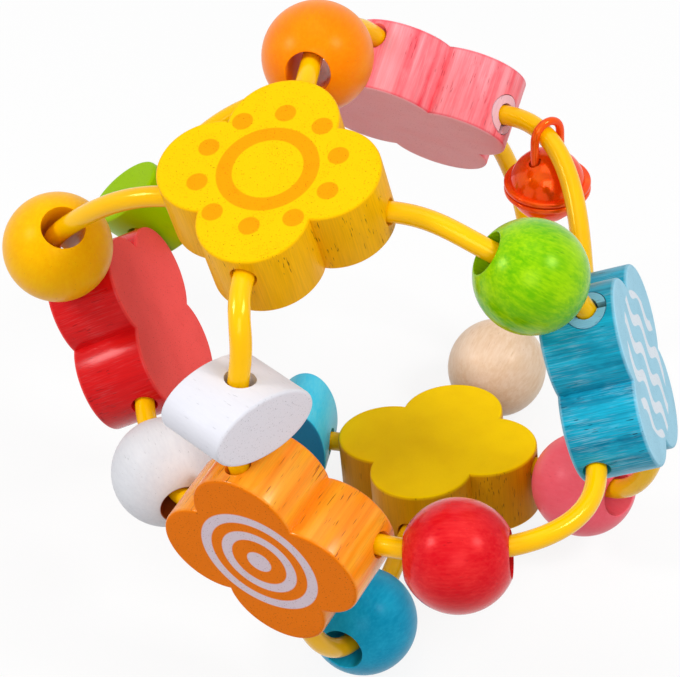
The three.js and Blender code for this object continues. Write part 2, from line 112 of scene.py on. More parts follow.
# Camera at the photograph's viewing angle
CAMERA_PLACE = Vector((0.14685, -0.42184, 0.41196))
CAMERA_TURN = (51.288, 2.535, 17.601)
CAMERA_LENS = 151.13
SENSOR_WIDTH = 36.0

# Where a board's face and its rim start, in millimetres from the middle of the board
FACE_TOP = BOARD_THICKNESS / 2 / MILLIMETRE
FACE_FULL = FACE_TOP - 0.064
FACE_START = FACE_TOP - 0.32
RIM_START = FACE_TOP - 0.768
OUTER_HALF = (0.0, 1.0)

# Prints on the blocks' outer faces, in millimetres
PRINT_SOFTNESS = 0.14
DOT_COUNT = 10
DOT_RADIUS = 2.0
DOT_RING_RADIUS = 13.2
BAND_RADIUS = 8.2
BAND_HALF_WIDTH = 1.5
OUTER_RING_RADIUS = 11.5
INNER_RING_RADIUS = 7.0
RING_HALF_WIDTH = 1.1
CENTRE_DOT_RADIUS = 2.6
WAVE_HEIGHT = 1.5
WAVE_TURN = 0.55
WAVE_SPACING = 6.4
WAVE_HALF_WIDTH = 1.3
WAVE_FIELD = (14.5, 14.2)

WHITE = (1.0, 1.0, 1.0, 1.0)
Colour = tuple[float, float, float, float]


def tint(code: str) -> Colour:
    """Turns an sRGB hex colour into the linear colour that shaders take.

    Args:
        code: six hex digits.

    Returns:
        Red, green, blue and alpha.
    """
    channels = [value / 255 for value in bytes.fromhex(code)]
    linear = [c / 12.92 if c <= 0.04045 else ((c + 0.055) / 1.055) ** 2.4 for c in channels]
    return (linear[0], linear[1], linear[2], 1.0)


class Motif(Enum):
    """What is printed on the outer face of a block."""

    BARE = "bare"
    DOTTED_RING = "dotted ring"
    RINGS = "rings"
    WAVES = "waves"


class Cut(Enum):
    """How one solid changes another."""

    TAKE_OUT = "DIFFERENCE"
    KEEP_SHARED = "INTERSECT"


@dataclass(frozen=True)
class Pattern:
    """Noise of one size, drawn out along Z, with the step that turns it into marks.

    The scale is in features for each unit of the coordinates that the pattern is read at.
    """

    scale: float
    detail: float
    along: float = 1.0
    step: tuple[float, float] = (0.0, 1.0)


# Middle of any noise
NOISE_MIDDLE = 0.5

# Stained wood, read in millimetres
PORE_WIDTH = 0.26
PORE_STEP = (0.71, 0.78)
PORE_CROWDING = 0.6
PORE_CROWDS = Pattern(0.3, 2.0, along=0.3)
SPECK_WIDTH = 0.36
END_SPECKS = Pattern(1 / SPECK_WIDTH, 1.0, step=(0.63, 0.74))
WOOD_BANDS = Pattern(0.42, 3.0, along=0.03)
WOOD_FIBRE = Pattern(3.6, 2.0, along=0.04, step=(0.3, 0.75))
WOOD_CLOUDS = Pattern(0.8, 5.0, along=0.4, step=(0.4, 0.66))
WOOD_BLOTCHES = Pattern(0.16, 3.0, step=(0.3, 0.8))
# Pale streaks along the sides, partly brushed white wash and partly painted highlight, and the blotches
# that gather them
BRUSH_STREAKS_AND_GLINTS = Pattern(4.2, 4.0, along=0.055, step=(0.46, 0.72))
STREAK_AND_GLINT_BLOTCHES = (0.36, 0.66)

# Painted beads, read in millimetres
PAINT_PATCHES = Pattern(0.17, 3.0, step=(0.34, 0.7))
PAINT_STROKES = Pattern(2.2, 4.0, along=0.3, step=(0.4, 0.7))
PAINT_FIBRE = Pattern(1.3, 3.0, along=0.07, step=(0.35, 0.75))
PAINT_PORES = Pattern(1 / PORE_WIDTH, 1.0, along=0.12, step=PORE_STEP)
# How far the painted shade in a bore reaches past its wall
BORE_SHADE_REACH = 0.3

# Plastic and metal, read in metres
PLASTIC_CLOUDS = Pattern(90.0, 2.0, step=(0.3, 0.8))
PLASTIC_RIPPLE = Pattern(420.0, 2.0)
METAL_CLOUDS = Pattern(160.0, 3.0, step=(0.35, 0.7))
METAL_RIPPLE = Pattern(900.0, 2.0)


class Wire:
    """A shader value that adds Math nodes when it stands in an expression."""

    def __init__(self, shader: "NodeTree", socket: NodeSocket) -> None:
        """Keeps the socket and the shader that it belongs to."""
        self.shader = shader
        self.socket = socket

    def __add__(self, other: Any) -> "Wire":
        """Adds a value."""
        return self.shader.maths("ADD", self, other)

    __radd__ = __add__

    def __mul__(self, other: Any) -> "Wire":
        """Multiplies by a value."""
        return self.shader.maths("MULTIPLY", self, other)

    __rmul__ = __mul__

    def __sub__(self, other: Any) -> "Wire":
        """Takes a value off."""
        return self.shader.maths("SUBTRACT", self, other)

    def __rsub__(self, other: Any) -> "Wire":
        """Is taken off a value."""
        return self.shader.maths("SUBTRACT", other, self)

    def __truediv__(self, other: Any) -> "Wire":
        """Divides by a value."""
        return self.shader.maths("DIVIDE", self, other)

    def __rtruediv__(self, other: Any) -> "Wire":
        """Divides a value."""
        return self.shader.maths("DIVIDE", other, self)

    def __abs__(self) -> "Wire":
        """Drops the sign."""
        return self.shader.maths("ABSOLUTE", self)

    def rise(self, low: float, high: float) -> "Wire":
        """Smooth step from 0 to 1.

        Args:
            low: value where the step starts.
            high: value where it ends. A high below low gives a falling step.

        Returns:
            The step's value.
        """
        settings = {"interpolation_type": "SMOOTHSTEP"}
        inputs = {"Value": self, "From Min": low, "From Max": high}
        if high < low:
            inputs = {"Value": self, "From Min": high, "From Max": low, "To Min": 1.0, "To Max": 0.0}
        return Wire(self.shader, self.shader.node("ShaderNodeMapRange", settings, inputs).outputs[0])


class NodeTree:
    """A node tree of a material or of the world, emptied to be filled."""

    def __init__(self, tree: bpy.types.NodeTree) -> None:
        """Empties the tree.

        Args:
            tree: the tree to fill.
        """
        self.tree = tree
        self.tree.nodes.clear()

    def node(self, kind: str, settings: dict | None = None, inputs: dict | None = None) -> Node:
        """Adds a node.

        Args:
            kind: the node's type.
            settings: its properties, set first.
            inputs: values, wires or sockets by input name or number.

        Returns:
            The new node.
        """
        node = self.tree.nodes.new(kind)
        for key, value in (settings or {}).items():
            setattr(node, key, value)
        for key, value in (inputs or {}).items():
            source = value.socket if isinstance(value, Wire) else value
            if isinstance(source, NodeSocket):
                self.tree.links.new(source, node.inputs[key])
            else:
                node.inputs[key].default_value = source
        return node

    def maths(self, operation: str, *values: Any) -> Wire:
        """Adds a Math node and gives its result."""
        node = self.node("ShaderNodeMath", {"operation": operation}, dict(enumerate(values)))
        return Wire(self, node.outputs[0])

    def length(self, x: Wire, y: Wire) -> Wire:
        """The length of a vector with these two parts."""
        return self.maths("SQRT", x * x + y * y)

    def seen(self) -> Wire:
        """Tells the rays that show something from those that only light it.

        Returns:
            1 for what the camera sees, straight, in gloss or through something clear, and 0 else.
        """
        path = self.node("ShaderNodeLightPath")
        straight = self.maths("MAXIMUM", path.outputs["Is Camera Ray"], path.outputs["Is Transmission Ray"])
        return self.maths("MAXIMUM", straight, path.outputs["Is Glossy Ray"])


class Shader(NodeTree):
    """A material's node tree, with its output."""

    def __init__(self, name: str) -> None:
        """Makes an empty material with its output.

        Args:
            name: the material's name.
        """
        self.material = bpy.data.materials.new(name)
        self.material.use_nodes = True
        super().__init__(self.material.node_tree)
        self.output = self.node("ShaderNodeOutputMaterial")

    def mix(self, share: Any, first: Any, second: Any) -> NodeSocket:
        """Mixes two colours.

        Args:
            share: how much of the second colour shows, from 0 to 1.
            first: colour or socket.
            second: colour or socket.

        Returns:
            The mixed colour's socket.
        """
        node = self.node("ShaderNodeMix", {"data_type": "RGBA"}, {0: share, 6: first, 7: second})
        return node.outputs[2]

    def whole(self) -> NodeSocket:
        """Coordinates in the frame's axes, in metres."""
        return self.node("ShaderNodeTexCoord").outputs["Object"]

    def local(self, seat: "Seat") -> NodeSocket:
        """Coordinates in a piece's own axes, in millimetres, from its place in the frame."""
        inputs = {
            "Vector": self.whole(),
            "Location": seat.matrix.to_translation(),
            "Rotation": seat.matrix.to_euler(),
            "Scale": (MILLIMETRE, MILLIMETRE, MILLIMETRE),
        }
        return self.node("ShaderNodeMapping", {"vector_type": "TEXTURE"}, inputs).outputs[0]

    def axes(self, place: NodeSocket) -> tuple[Wire, Wire, Wire]:
        """The X, Y and Z values of a vector."""
        node = self.node("ShaderNodeSeparateXYZ", {}, {0: place})
        return (Wire(self, node.outputs[0]), Wire(self, node.outputs[1]), Wire(self, node.outputs[2]))

    def noise(self, place: NodeSocket, pattern: Pattern) -> Wire:
        """A pattern's noise.

        Args:
            place: the coordinates that it is read at.
            pattern: its size.

        Returns:
            The noise, about 0.5 on the whole.
        """
        if pattern.along != 1.0:
            factors = {0: place, 1: (1.0, 1.0, pattern.along)}
            place = self.node("ShaderNodeVectorMath", {"operation": "MULTIPLY"}, factors).outputs[0]
        inputs = {"Vector": place, "Scale": pattern.scale, "Detail": pattern.detail}
        return Wire(self, self.node("ShaderNodeTexNoise", {}, inputs).outputs[0])

    def marks(self, place: NodeSocket, pattern: Pattern) -> Wire:
        """1 where a pattern's noise is past its step, and 0 before it."""
        return self.noise(place, pattern).rise(*pattern.step)

    def bump(self, height: Wire, depth: float) -> NodeSocket:
        """A normal from a height, of this depth in metres."""
        node = self.node("ShaderNodeBump", {}, {"Strength": 1.0, "Distance": depth, "Height": height})
        return node.outputs[0]

    def surface(self, inputs: dict) -> Material:
        """Adds the principled surface.

        Args:
            inputs: values, wires or sockets by input name.

        Returns:
            The finished material.
        """
        shader = self.node("ShaderNodeBsdfPrincipled", {}, inputs)
        self.tree.links.new(shader.outputs[0], self.output.inputs["Surface"])
        return self.material


def node_points(name: str) -> np.ndarray:
    """Reads the vertices of a frame node.

    Args:
        name: the node.

    Returns:
        One row for each vertex.
    """
    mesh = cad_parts[name].data
    points = np.empty(len(mesh.vertices) * 3)
    mesh.vertices.foreach_get("co", points)
    return points.reshape(-1, 3)


def corner_points(name: str) -> np.ndarray:
    """The corners of a frame node, each once."""
    return np.unique(node_points(name).round(MERGE_DIGITS), axis=0)


@dataclass(frozen=True)
class Seat:
    """Where a piece sits: its middle and its own axes in the row frame."""

    matrix: Matrix

    @classmethod
    def from_axes(cls, middle: np.ndarray, x: np.ndarray, z: np.ndarray) -> "Seat":
        """Makes a seat from its middle and two of its axes.

        Args:
            middle: the origin of the piece's own axes.
            x: direction of its X axis.
            z: direction of its Z axis, square to X.

        Returns:
            The seat.
        """
        columns = Matrix((Vector(x), Vector(np.cross(z, x)), Vector(z))).transposed()
        return cls(Matrix.Translation(Vector(middle)) @ columns.to_4x4())

    @classmethod
    def of_block(cls, name: str) -> "Seat":
        """Finds a flower block's seat: Z out of its outer face, and X to one of its petals.

        Args:
            name: the block's node.

        Returns:
            The seat.
        """
        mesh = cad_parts[name].data
        normals = np.array([face.normal for face in mesh.polygons])
        areas = np.array([face.area for face in mesh.polygons])
        middles = np.array([face.center for face in mesh.polygons])
        outward = normals[areas.argmax()]
        flat = np.abs(normals @ outward) > FLAT_FACE_MATCH
        middle = np.average(middles[flat], axis=0, weights=areas[flat])
        if outward @ (middle - np.array(BALL_MIDDLE)) < 0:
            outward = -outward
        arms = node_points(name) - middle
        arms -= np.outer(arms @ outward, outward)
        lengths = np.linalg.norm(arms, axis=1)
        tips = arms[lengths > lengths.max() - TIP_MATCH]
        petal = tips[(tips @ np.array(PETAL_PICK)).argmax()]
        return cls.from_axes(middle, petal / np.linalg.norm(petal), outward)

    @classmethod
    def of_turned(cls, name: str) -> "Seat":
        """Finds a turned bead's seat: Z along its bore.

        Args:
            name: the bead's node.

        Returns:
            The seat.
        """
        points = corner_points(name)
        spread, directions = np.linalg.eigh(np.cov((points - points.mean(0)).T))
        odd = 0 if spread[1] - spread[0] > spread[2] - spread[1] else 2
        return cls.from_axes(points.mean(0), directions[:, 1], directions[:, odd])

    @classmethod
    def of_oval(cls, name: str) -> "Seat":
        """Finds an oval bead's seat: X along it, Y along its bore and Z out of a flat face.

        Args:
            name: the bead's node.

        Returns:
            The seat.
        """
        points = corner_points(name)
        directions = np.linalg.eigh(np.cov((points - points.mean(0)).T))[1]
        reach = np.ptp((points - points.mean(0)) @ directions, axis=0)
        order = reach.argsort()
        return cls.from_axes(points.mean(0), directions[:, order[2]], directions[:, order[1]])

    @classmethod
    def of_bell(cls) -> "Seat":
        """Finds the bell's seat: its middle at the seam of the shells, and Z up.

        Returns:
            The seat.
        """
        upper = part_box("bell_upper_shell")
        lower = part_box("bell_lower_shell")
        middle = (upper[0] + upper[1]) / 2
        middle.z = (upper[0].z + lower[1].z) / 2
        return cls(Matrix.Translation(middle))

    def inside(self, name: str) -> np.ndarray:
        """A frame node's vertices in this seat's own axes."""
        turn = np.array(self.matrix.to_3x3())
        return (node_points(name) - np.array(self.matrix.to_translation())) @ turn


def new_object(name: str, shape: BMesh) -> Object:
    """Turns a bmesh into an object of the scene, and frees it.

    Args:
        name: the object's name.
        shape: its mesh.

    Returns:
        The object.
    """
    mesh = bpy.data.meshes.new(name)
    shape.to_mesh(mesh)
    shape.free()
    made = bpy.data.objects.new(name, mesh)
    bpy.context.scene.collection.objects.link(made)
    return made


def bake_modifiers(piece: Object) -> None:
    """Makes what a piece's modifiers show its own mesh, and removes them.

    Args:
        piece: the piece.
    """
    graph = bpy.context.evaluated_depsgraph_get()
    shown = bpy.data.meshes.new_from_object(piece.evaluated_get(graph))
    piece.modifiers.clear()
    piece.data = shown


def carve(piece: Object, tool: Object, cut: Cut) -> None:
    """Cuts a piece with another solid, which is then removed.

    Args:
        piece: what is cut.
        tool: the solid that cuts it.
        cut: how it is cut.
    """
    modifier = piece.modifiers.new("carve", "BOOLEAN")
    modifier.solver = "EXACT"
    modifier.operation = cut.value
    modifier.object = tool
    bake_modifiers(piece)
    bpy.data.objects.remove(tool)


def weld(piece: Object) -> None:
    """Merges a piece's corners that lie on each other, and removes what has no area.

    Args:
        piece: the piece.
    """
    shape = bmesh.new()
    shape.from_mesh(piece.data)
    bmesh.ops.remove_doubles(shape, verts=shape.verts[:], dist=WELD_DISTANCE)
    bmesh.ops.dissolve_degenerate(shape, edges=shape.edges[:], dist=WELD_DISTANCE)
    shape.to_mesh(piece.data)
    shape.free()


def shade_smooth(piece: Object) -> None:
    """Smooths the shading of all of a piece's faces."""
    piece.data.polygons.foreach_set("use_smooth", [True] * len(piece.data.polygons))


def seat_piece(piece: Object, seat: Seat) -> None:
    """Puts a piece's mesh in its place, and smooths its shading between its edges.

    Args:
        piece: the piece, in its own axes.
        seat: its place.
    """
    weld(piece)
    piece.data.transform(seat.matrix)
    shade_smooth(piece)
    piece.data.set_sharp_from_angle(angle=SMOOTH_ANGLE)


def dress(item: Object, material: Material) -> None:
    """Gives an object one finish."""
    item.data.materials.clear()
    item.data.materials.append(material)


def hand_over(piece: Object, material: Material, body: str, node: str) -> None:
    """Gives a piece its finish and its body, and hides the frame node that it stands for.

    Args:
        piece: the finished piece.
        material: its finish.
        body: the body that it rides on.
        node: the frame node that it replaces.
    """
    dress(piece, material)
    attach(piece, body)
    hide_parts(node)
    log.info("%s: %d faces, rides on %s", piece.name, len(piece.data.polygons), body)


def spin_round(shape: BMesh, steps: int) -> None:
    """Spins a profile in the XZ plane a full turn about Z, and closes its poles.

    Args:
        shape: the bmesh with the profile.
        steps: sides of the turned solid.
    """
    bmesh.ops.spin(
        shape,
        geom=shape.verts[:] + shape.edges[:],
        cent=(0, 0, 0),
        axis=(0, 0, 1),
        angle=math.tau,
        steps=steps,
        use_merge=True,
    )
    bmesh.ops.remove_doubles(shape, verts=shape.verts[:], dist=WELD_DISTANCE)
    bmesh.ops.recalc_face_normals(shape, faces=shape.faces[:])


def turned_solid(name: str, outline: list[tuple[float, float]]) -> Object:
    """Turns a closed outline about Z.

    Args:
        name: the object's name.
        outline: distance from the axis and height of each corner.

    Returns:
        The solid.
    """
    shape = bmesh.new()
    corners = [shape.verts.new((radius, 0, height)) for radius, height in outline]
    for first, second in zip(corners, corners[1:] + corners[:1]):
        if first.co.x > 0 or second.co.x > 0:
            shape.edges.new((first, second))
    spin_round(shape, BORE_STEPS)
    return new_object(name, shape)


def rod(name: str, radius: float, foot: float, top: float) -> Object:
    """A round rod about Z between two heights, for cutting a bore."""
    return turned_solid(name, [(0, foot), (radius, foot), (radius, top), (0, top)])


def bar(name: str, size: tuple[float, float, float], middle: tuple[float, float, float]) -> Object:
    """Makes a square bar, for cutting a slit.

    Args:
        name: the object's name.
        size: its extent along each axis.
        middle: where its middle is.

    Returns:
        The bar.
    """
    shape = bmesh.new()
    bmesh.ops.create_cube(shape, size=1.0)
    bmesh.ops.scale(shape, verts=shape.verts[:], vec=size)
    bmesh.ops.translate(shape, verts=shape.verts[:], vec=middle)
    return new_object(name, shape)


def is_level(edge: BMEdge) -> bool:
    """Whether an edge's ends are at one height."""
    return abs(edge.verts[0].co.z - edge.verts[1].co.z) < WELD_DISTANCE


def round_edges(shape: BMesh, edges: list[BMEdge], size: float) -> None:
    """Rounds edges of a bmesh.

    Args:
        shape: the bmesh.
        edges: the edges to round.
        size: how far the rounding reaches from each edge.
    """
    bmesh.ops.bevel(
        shape,
        geom=edges,
        offset=size,
        offset_type="OFFSET",
        affect="EDGES",
        segments=BEVEL_STEPS,
        profile=0.5,
        material=-1,
        clamp_overlap=True,
    )


def cut_from_board(shape: BMesh) -> None:
    """Makes a flat outline a piece of board, centred on the outline, with rounded edges.

    Args:
        shape: a bmesh with one face in the XY plane.
    """
    bmesh.ops.translate(shape, verts=shape.verts[:], vec=(0, 0, -BOARD_THICKNESS / 2))
    lifted = bmesh.ops.extrude_face_region(shape, geom=shape.faces[:], use_keep_orig=True)
    raised = [item for item in lifted["geom"] if isinstance(item, BMVert)]
    bmesh.ops.translate(shape, verts=raised, vec=(0, 0, BOARD_THICKNESS))
    bmesh.ops.recalc_face_normals(shape, faces=shape.faces[:])
    round_edges(shape, [edge for edge in shape.edges if is_level(edge)], BOARD_EDGE)
    flats = sorted(shape.faces, key=lambda face: face.calc_area())[-2:]
    bmesh.ops.inset_individual(shape, faces=flats, thickness=FACE_INSET)


def flower_board(name: str) -> Object:
    """A flower block with no bores: a square with a half round petal on each side.

    Args:
        name: the object's name.

    Returns:
        The block, in its own axes.
    """
    shape = bmesh.new()
    for quarter in range(4):
        turn = Matrix.Rotation(quarter * math.pi / 2, 3, "Z")
        start = shape.verts.new(turn @ Vector((PETAL_RADIUS, -PETAL_RADIUS, 0)))
        bmesh.ops.spin(
            shape,
            geom=[start],
            cent=turn @ Vector((PETAL_RADIUS, 0, 0)),
            axis=(0, 0, 1),
            angle=math.pi,
            steps=PETAL_STEPS,
        )
    bmesh.ops.remove_doubles(shape, verts=shape.verts[:], dist=WELD_DISTANCE)
    bmesh.ops.contextual_create(shape, geom=shape.edges[:])
    cut_from_board(shape)
    return new_object(name, shape)


def within(distance: Wire, limit: float) -> Wire:
    """1 where a distance on a print is under a limit, and 0 past it, with a soft edge."""
    return distance.rise(limit + PRINT_SOFTNESS, limit - PRINT_SOFTNESS)


def dotted_ring(shader: Shader, x: Wire, y: Wire) -> Wire:
    """Prints a broad ring inside a ring of dots.

    Args:
        shader: the block's shader.
        x: first coordinate on the face, in millimetres.
        y: second coordinate.

    Returns:
        1 on the print and 0 elsewhere.
    """
    reach = shader.length(x, y)
    turns = shader.maths("ARCTAN2", y, x) * (DOT_COUNT / math.tau) + DOT_COUNT
    angle = (shader.maths("FRACT", turns) - 0.5) * (math.tau / DOT_COUNT)
    along = reach * shader.maths("COSINE", angle) - DOT_RING_RADIUS
    across = reach * shader.maths("SINE", angle)
    dots = within(shader.length(along, across), DOT_RADIUS)
    return shader.maths("MAXIMUM", dots, within(abs(reach - BAND_RADIUS), BAND_HALF_WIDTH))


def rings(shader: Shader, x: Wire, y: Wire) -> Wire:
    """Prints two rings round a dot.

    Args:
        shader: the block's shader.
        x: first coordinate on the face, in millimetres.
        y: second coordinate.

    Returns:
        1 on the print and 0 elsewhere.
    """
    reach = shader.length(x, y)
    outer = within(abs(reach - OUTER_RING_RADIUS), RING_HALF_WIDTH)
    inner = within(abs(reach - INNER_RING_RADIUS), RING_HALF_WIDTH)
    both = shader.maths("MAXIMUM", outer, inner)
    return shader.maths("MAXIMUM", both, within(reach, CENTRE_DOT_RADIUS))


def waves(shader: Shader, x: Wire, y: Wire) -> Wire:
    """Prints wavy lines in a round field.

    Args:
        shader: the block's shader.
        x: first coordinate on the face, in millimetres.
        y: second coordinate.

    Returns:
        1 on the print and 0 elsewhere.
    """
    level = y + shader.maths("SINE", x * WAVE_TURN) * WAVE_HEIGHT
    share = shader.maths("FRACT", level / WAVE_SPACING + 0.5)
    lines = within(abs(share - 0.5) * WAVE_SPACING, WAVE_HALF_WIDTH)
    return lines * shader.length(x, y).rise(*WAVE_FIELD)


PRINTS = {Motif.DOTTED_RING: dotted_ring, Motif.RINGS: rings, Motif.WAVES: waves}


@dataclass(frozen=True)
class BlockFinish:
    """Stained and lacquered wood whose grain runs through the thickness of the board."""

    face: str
    side: str
    pore: str
    wash: str
    rim: str = ""
    motif: Motif = Motif.BARE
    ink: str = ""
    banding: float = 0.22
    mottle: float = 0.0
    lines: float = 0.16
    streak_and_glint_share: float = 0.0
    pores: float = 0.8
    pore_length: float = 2.4
    specks: float = 0.25
    roughness: float = 0.36
    coat: float = 0.05

    # Colour of the pale streaks: partly white wash, partly painted highlight
    streak_and_glint: str = "d4e8ee"
    rim_share: float = 0.4
    face_blotches: float = 0.1
    face_roughness: float = 0.62
    fibre_roughness: float = 0.16
    pore_roughness: float = 0.2
    coat_roughness: float = 0.2
    shine: float = 0.16
    fibre_relief: float = 0.35
    blotch_relief: float = 0.5
    relief_depth: float = 0.00006

    def pore_marks(self, shader: Shader, place: NodeSocket) -> Wire:
        """Where the wood's long pores show, crowded in some places.

        Args:
            shader: the block's shader.
            place: coordinates in the block's own axes, in millimetres.

        Returns:
            1 in a pore and 0 elsewhere.
        """
        spots = shader.noise(place, Pattern(1 / PORE_WIDTH, 1.0, along=PORE_WIDTH / self.pore_length))
        crowding = (shader.noise(place, PORE_CROWDS) - NOISE_MIDDLE) * PORE_CROWDING
        return (spots + crowding).rise(*PORE_STEP)

    def stained_side(
        self, shader: Shader, place: NodeSocket, fibre: Wire, blotch: Wire
    ) -> NodeSocket:
        """The stain on the block's sides: banded, clouded and lined along the grain, with pale streaks of
        brushed white wash and painted highlight.

        Args:
            shader: the block's shader.
            place: coordinates in the block's own axes, in millimetres.
            fibre: noise of the wood's fibres.
            blotch: noise of the stain's broad patches.

        Returns:
            The colour's socket.
        """
        bands = (shader.noise(place, WOOD_BANDS) - NOISE_MIDDLE) * (2 * self.banding) + NOISE_MIDDLE
        side = shader.mix(bands, tint(self.side), tint(self.wash))
        if self.mottle:
            clouds = shader.marks(place, WOOD_CLOUDS)
            side = shader.mix(clouds * self.mottle, side, tint(self.wash))
        side = shader.mix(fibre.rise(*WOOD_FIBRE.step) * self.lines, side, tint(self.pore))
        # Pale streaks: partly brushed white wash, partly painted highlight standing in for glints on the
        # lacquer
        if self.streak_and_glint_share:
            streaks_and_glints = shader.marks(place, BRUSH_STREAKS_AND_GLINTS) * blotch.rise(*STREAK_AND_GLINT_BLOTCHES)
            side = shader.mix(streaks_and_glints * self.streak_and_glint_share, side, tint(self.streak_and_glint))
        return side

    def material(self, name: str, seat: Seat) -> Material:
        """Makes the finish for one block.

        Args:
            name: the material's name.
            seat: where the block sits.

        Returns:
            The material.
        """
        shader = Shader(name)
        place = shader.local(seat)
        x, y, z = shader.axes(place)
        on_face = abs(z).rise(FACE_START, FACE_FULL)
        on_rim = abs(z).rise(RIM_START, FACE_START) * (1 - on_face)
        fibre = shader.noise(place, WOOD_FIBRE)
        blotch = shader.noise(place, WOOD_BLOTCHES)
        pore = self.pore_marks(shader, place)

        side = self.stained_side(shader, place, fibre, blotch)
        side = shader.mix(on_rim * self.rim_share, side, tint(self.rim or self.face))
        patches = blotch.rise(*WOOD_BLOTCHES.step) * self.face_blotches
        colour = shader.mix(on_face, side, shader.mix(patches, tint(self.face), tint(self.side)))
        if self.motif is not Motif.BARE:
            printed = PRINTS[self.motif](shader, x, y) * z.rise(*OUTER_HALF)
            colour = shader.mix(printed * on_face, colour, tint(self.ink))
        specks = shader.marks(place, END_SPECKS) * on_face * self.specks
        colour = shader.mix(pore * (1 - on_face) * self.pores + specks, colour, tint(self.pore))

        level = on_face * (self.face_roughness - self.roughness) + self.roughness
        rough = level + (fibre - NOISE_MIDDLE) * self.fibre_roughness + pore * self.pore_roughness
        relief = fibre * self.fibre_relief - pore + blotch * self.blotch_relief
        return shader.surface(
            {
                "Base Color": colour,
                "Roughness": rough,
                "Specular IOR Level": self.shine,
                "Specular Tint": tint(self.wash),
                "Coat Weight": (1 - on_face) * self.coat,
                "Coat Roughness": self.coat_roughness,
                "Normal": shader.bump(relief, self.relief_depth),
            }
        )


@dataclass(frozen=True)
class PaintFinish:
    """Paint on a turned or cut bead, with the wood's grain faintly under it."""

    colour: str
    shade: str
    pore: str
    # Colour of the flat end faces: end grain, and on the teal bead partly painted shade
    end_grain_and_shade_colour: str = ""
    # Dark colour inside the bore: painted shade and painted orange reflection
    bore_shade_colour: str = ""
    mottle: float = 0.3
    grain: float = 0.2
    roughness: float = 0.36
    coat: float = 0.08
    shine: float = 0.2

    patch_wear: float = 0.6
    stroke_wear: float = 0.4
    end_specks: float = 0.4
    pore_share: float = 1.6
    patch_roughness: float = 0.18
    stroke_roughness: float = 0.12
    end_roughness: float = 0.25
    coat_roughness: float = 0.26
    fibre_relief: float = 0.5
    stroke_relief: float = 0.3
    pore_relief: float = 0.8
    relief_depth: float = 0.00005

    def material(self, name: str, seat: Seat) -> Material:
        """Makes the finish for one bead.

        Args:
            name: the material's name.
            seat: where the bead sits. The grain runs along its Z axis.

        Returns:
            The material.
        """
        shader = Shader(name)
        place = shader.local(seat)
        patches = shader.noise(place, PAINT_PATCHES)
        strokes = shader.noise(place, PAINT_STROKES)
        fibre = shader.noise(place, PAINT_FIBRE)
        pore = shader.marks(place, PAINT_PORES)

        worn = patches.rise(*PAINT_PATCHES.step) * self.patch_wear
        worn = worn + strokes.rise(*PAINT_STROKES.step) * self.stroke_wear
        colour = shader.mix(worn * self.mottle, tint(self.colour), tint(self.shade))
        colour = shader.mix(fibre.rise(*PAINT_FIBRE.step) * self.grain, colour, tint(self.shade))
        rough = (patches - NOISE_MIDDLE) * self.patch_roughness
        rough = rough + (strokes - NOISE_MIDDLE) * self.stroke_roughness + self.roughness
        # End faces: end grain with specks; the teal bead's darker ends are partly painted shade
        if self.end_grain_and_shade_colour:
            on_end = abs(shader.axes(place)[2]).rise(FACE_START, FACE_FULL)
            specks = shader.marks(place, END_SPECKS) * self.end_specks
            colour = shader.mix(on_end, colour, shader.mix(specks, tint(self.end_grain_and_shade_colour), tint(self.pore)))
            rough = rough + on_end * self.end_roughness
        # Painted shade and painted orange reflection darken the inside of the bore
        if self.bore_shade_colour:
            x, y, _ = shader.axes(place)
            wall = BEAD_BORE_RADIUS / MILLIMETRE
            bore_shade_mask = shader.length(x, y).rise(wall + BORE_SHADE_REACH, wall)
            colour = shader.mix(bore_shade_mask, colour, tint(self.bore_shade_colour))
        colour = shader.mix(pore * self.grain * self.pore_share, colour, tint(self.pore))
        relief = fibre * self.fibre_relief + strokes * self.stroke_relief - pore * self.pore_relief
        return shader.surface(
            {
                "Base Color": colour,
                "Roughness": rough,
                "Specular IOR Level": self.shine,
                "Specular Tint": tint(self.shade),
                "Coat Weight": self.coat,
                "Coat Roughness": self.coat_roughness,
                "Normal": shader.bump(relief, self.relief_depth),
            }
        )


@dataclass(frozen=True)
class SmoothFinish:
    """Smooth plastic or metal, lightly clouded and rippled."""

    colour: str
    shade: str
    glint: str
    clouds: Pattern
    ripple: Pattern
    roughness: float
    coat: float
    metallic: float = 0.0
    cloud_share: float = 0.35
    cloud_roughness: float = 0.0
    cloud_relief: float = 0.0
    ripple_roughness: float = 0.0
    coat_roughness: float = 0.08
    relief_depth: float = 0.00002

    def material(self, name: str) -> Material:
        """Makes the finish.

        Args:
            name: the material's name.

        Returns:
            The material.
        """
        shader = Shader(name)
        place = shader.whole()
        clouds = shader.noise(place, self.clouds)
        ripple = shader.noise(place, self.ripple)
        shaded = clouds.rise(*self.clouds.step) * self.cloud_share
        rough = clouds * self.cloud_roughness + ripple * self.ripple_roughness + self.roughness
        relief = ripple + clouds * self.cloud_relief
        return shader.surface(
            {
                "Base Color": shader.mix(shaded, tint(self.colour), tint(self.shade)),
                "Metallic": self.metallic,
                "Roughness": rough,
                "Specular Tint": tint(self.glint),
                "Coat Weight": self.coat,
                "Coat Roughness": self.coat_roughness,
                "Normal": shader.bump(relief, self.relief_depth),
            }
        )


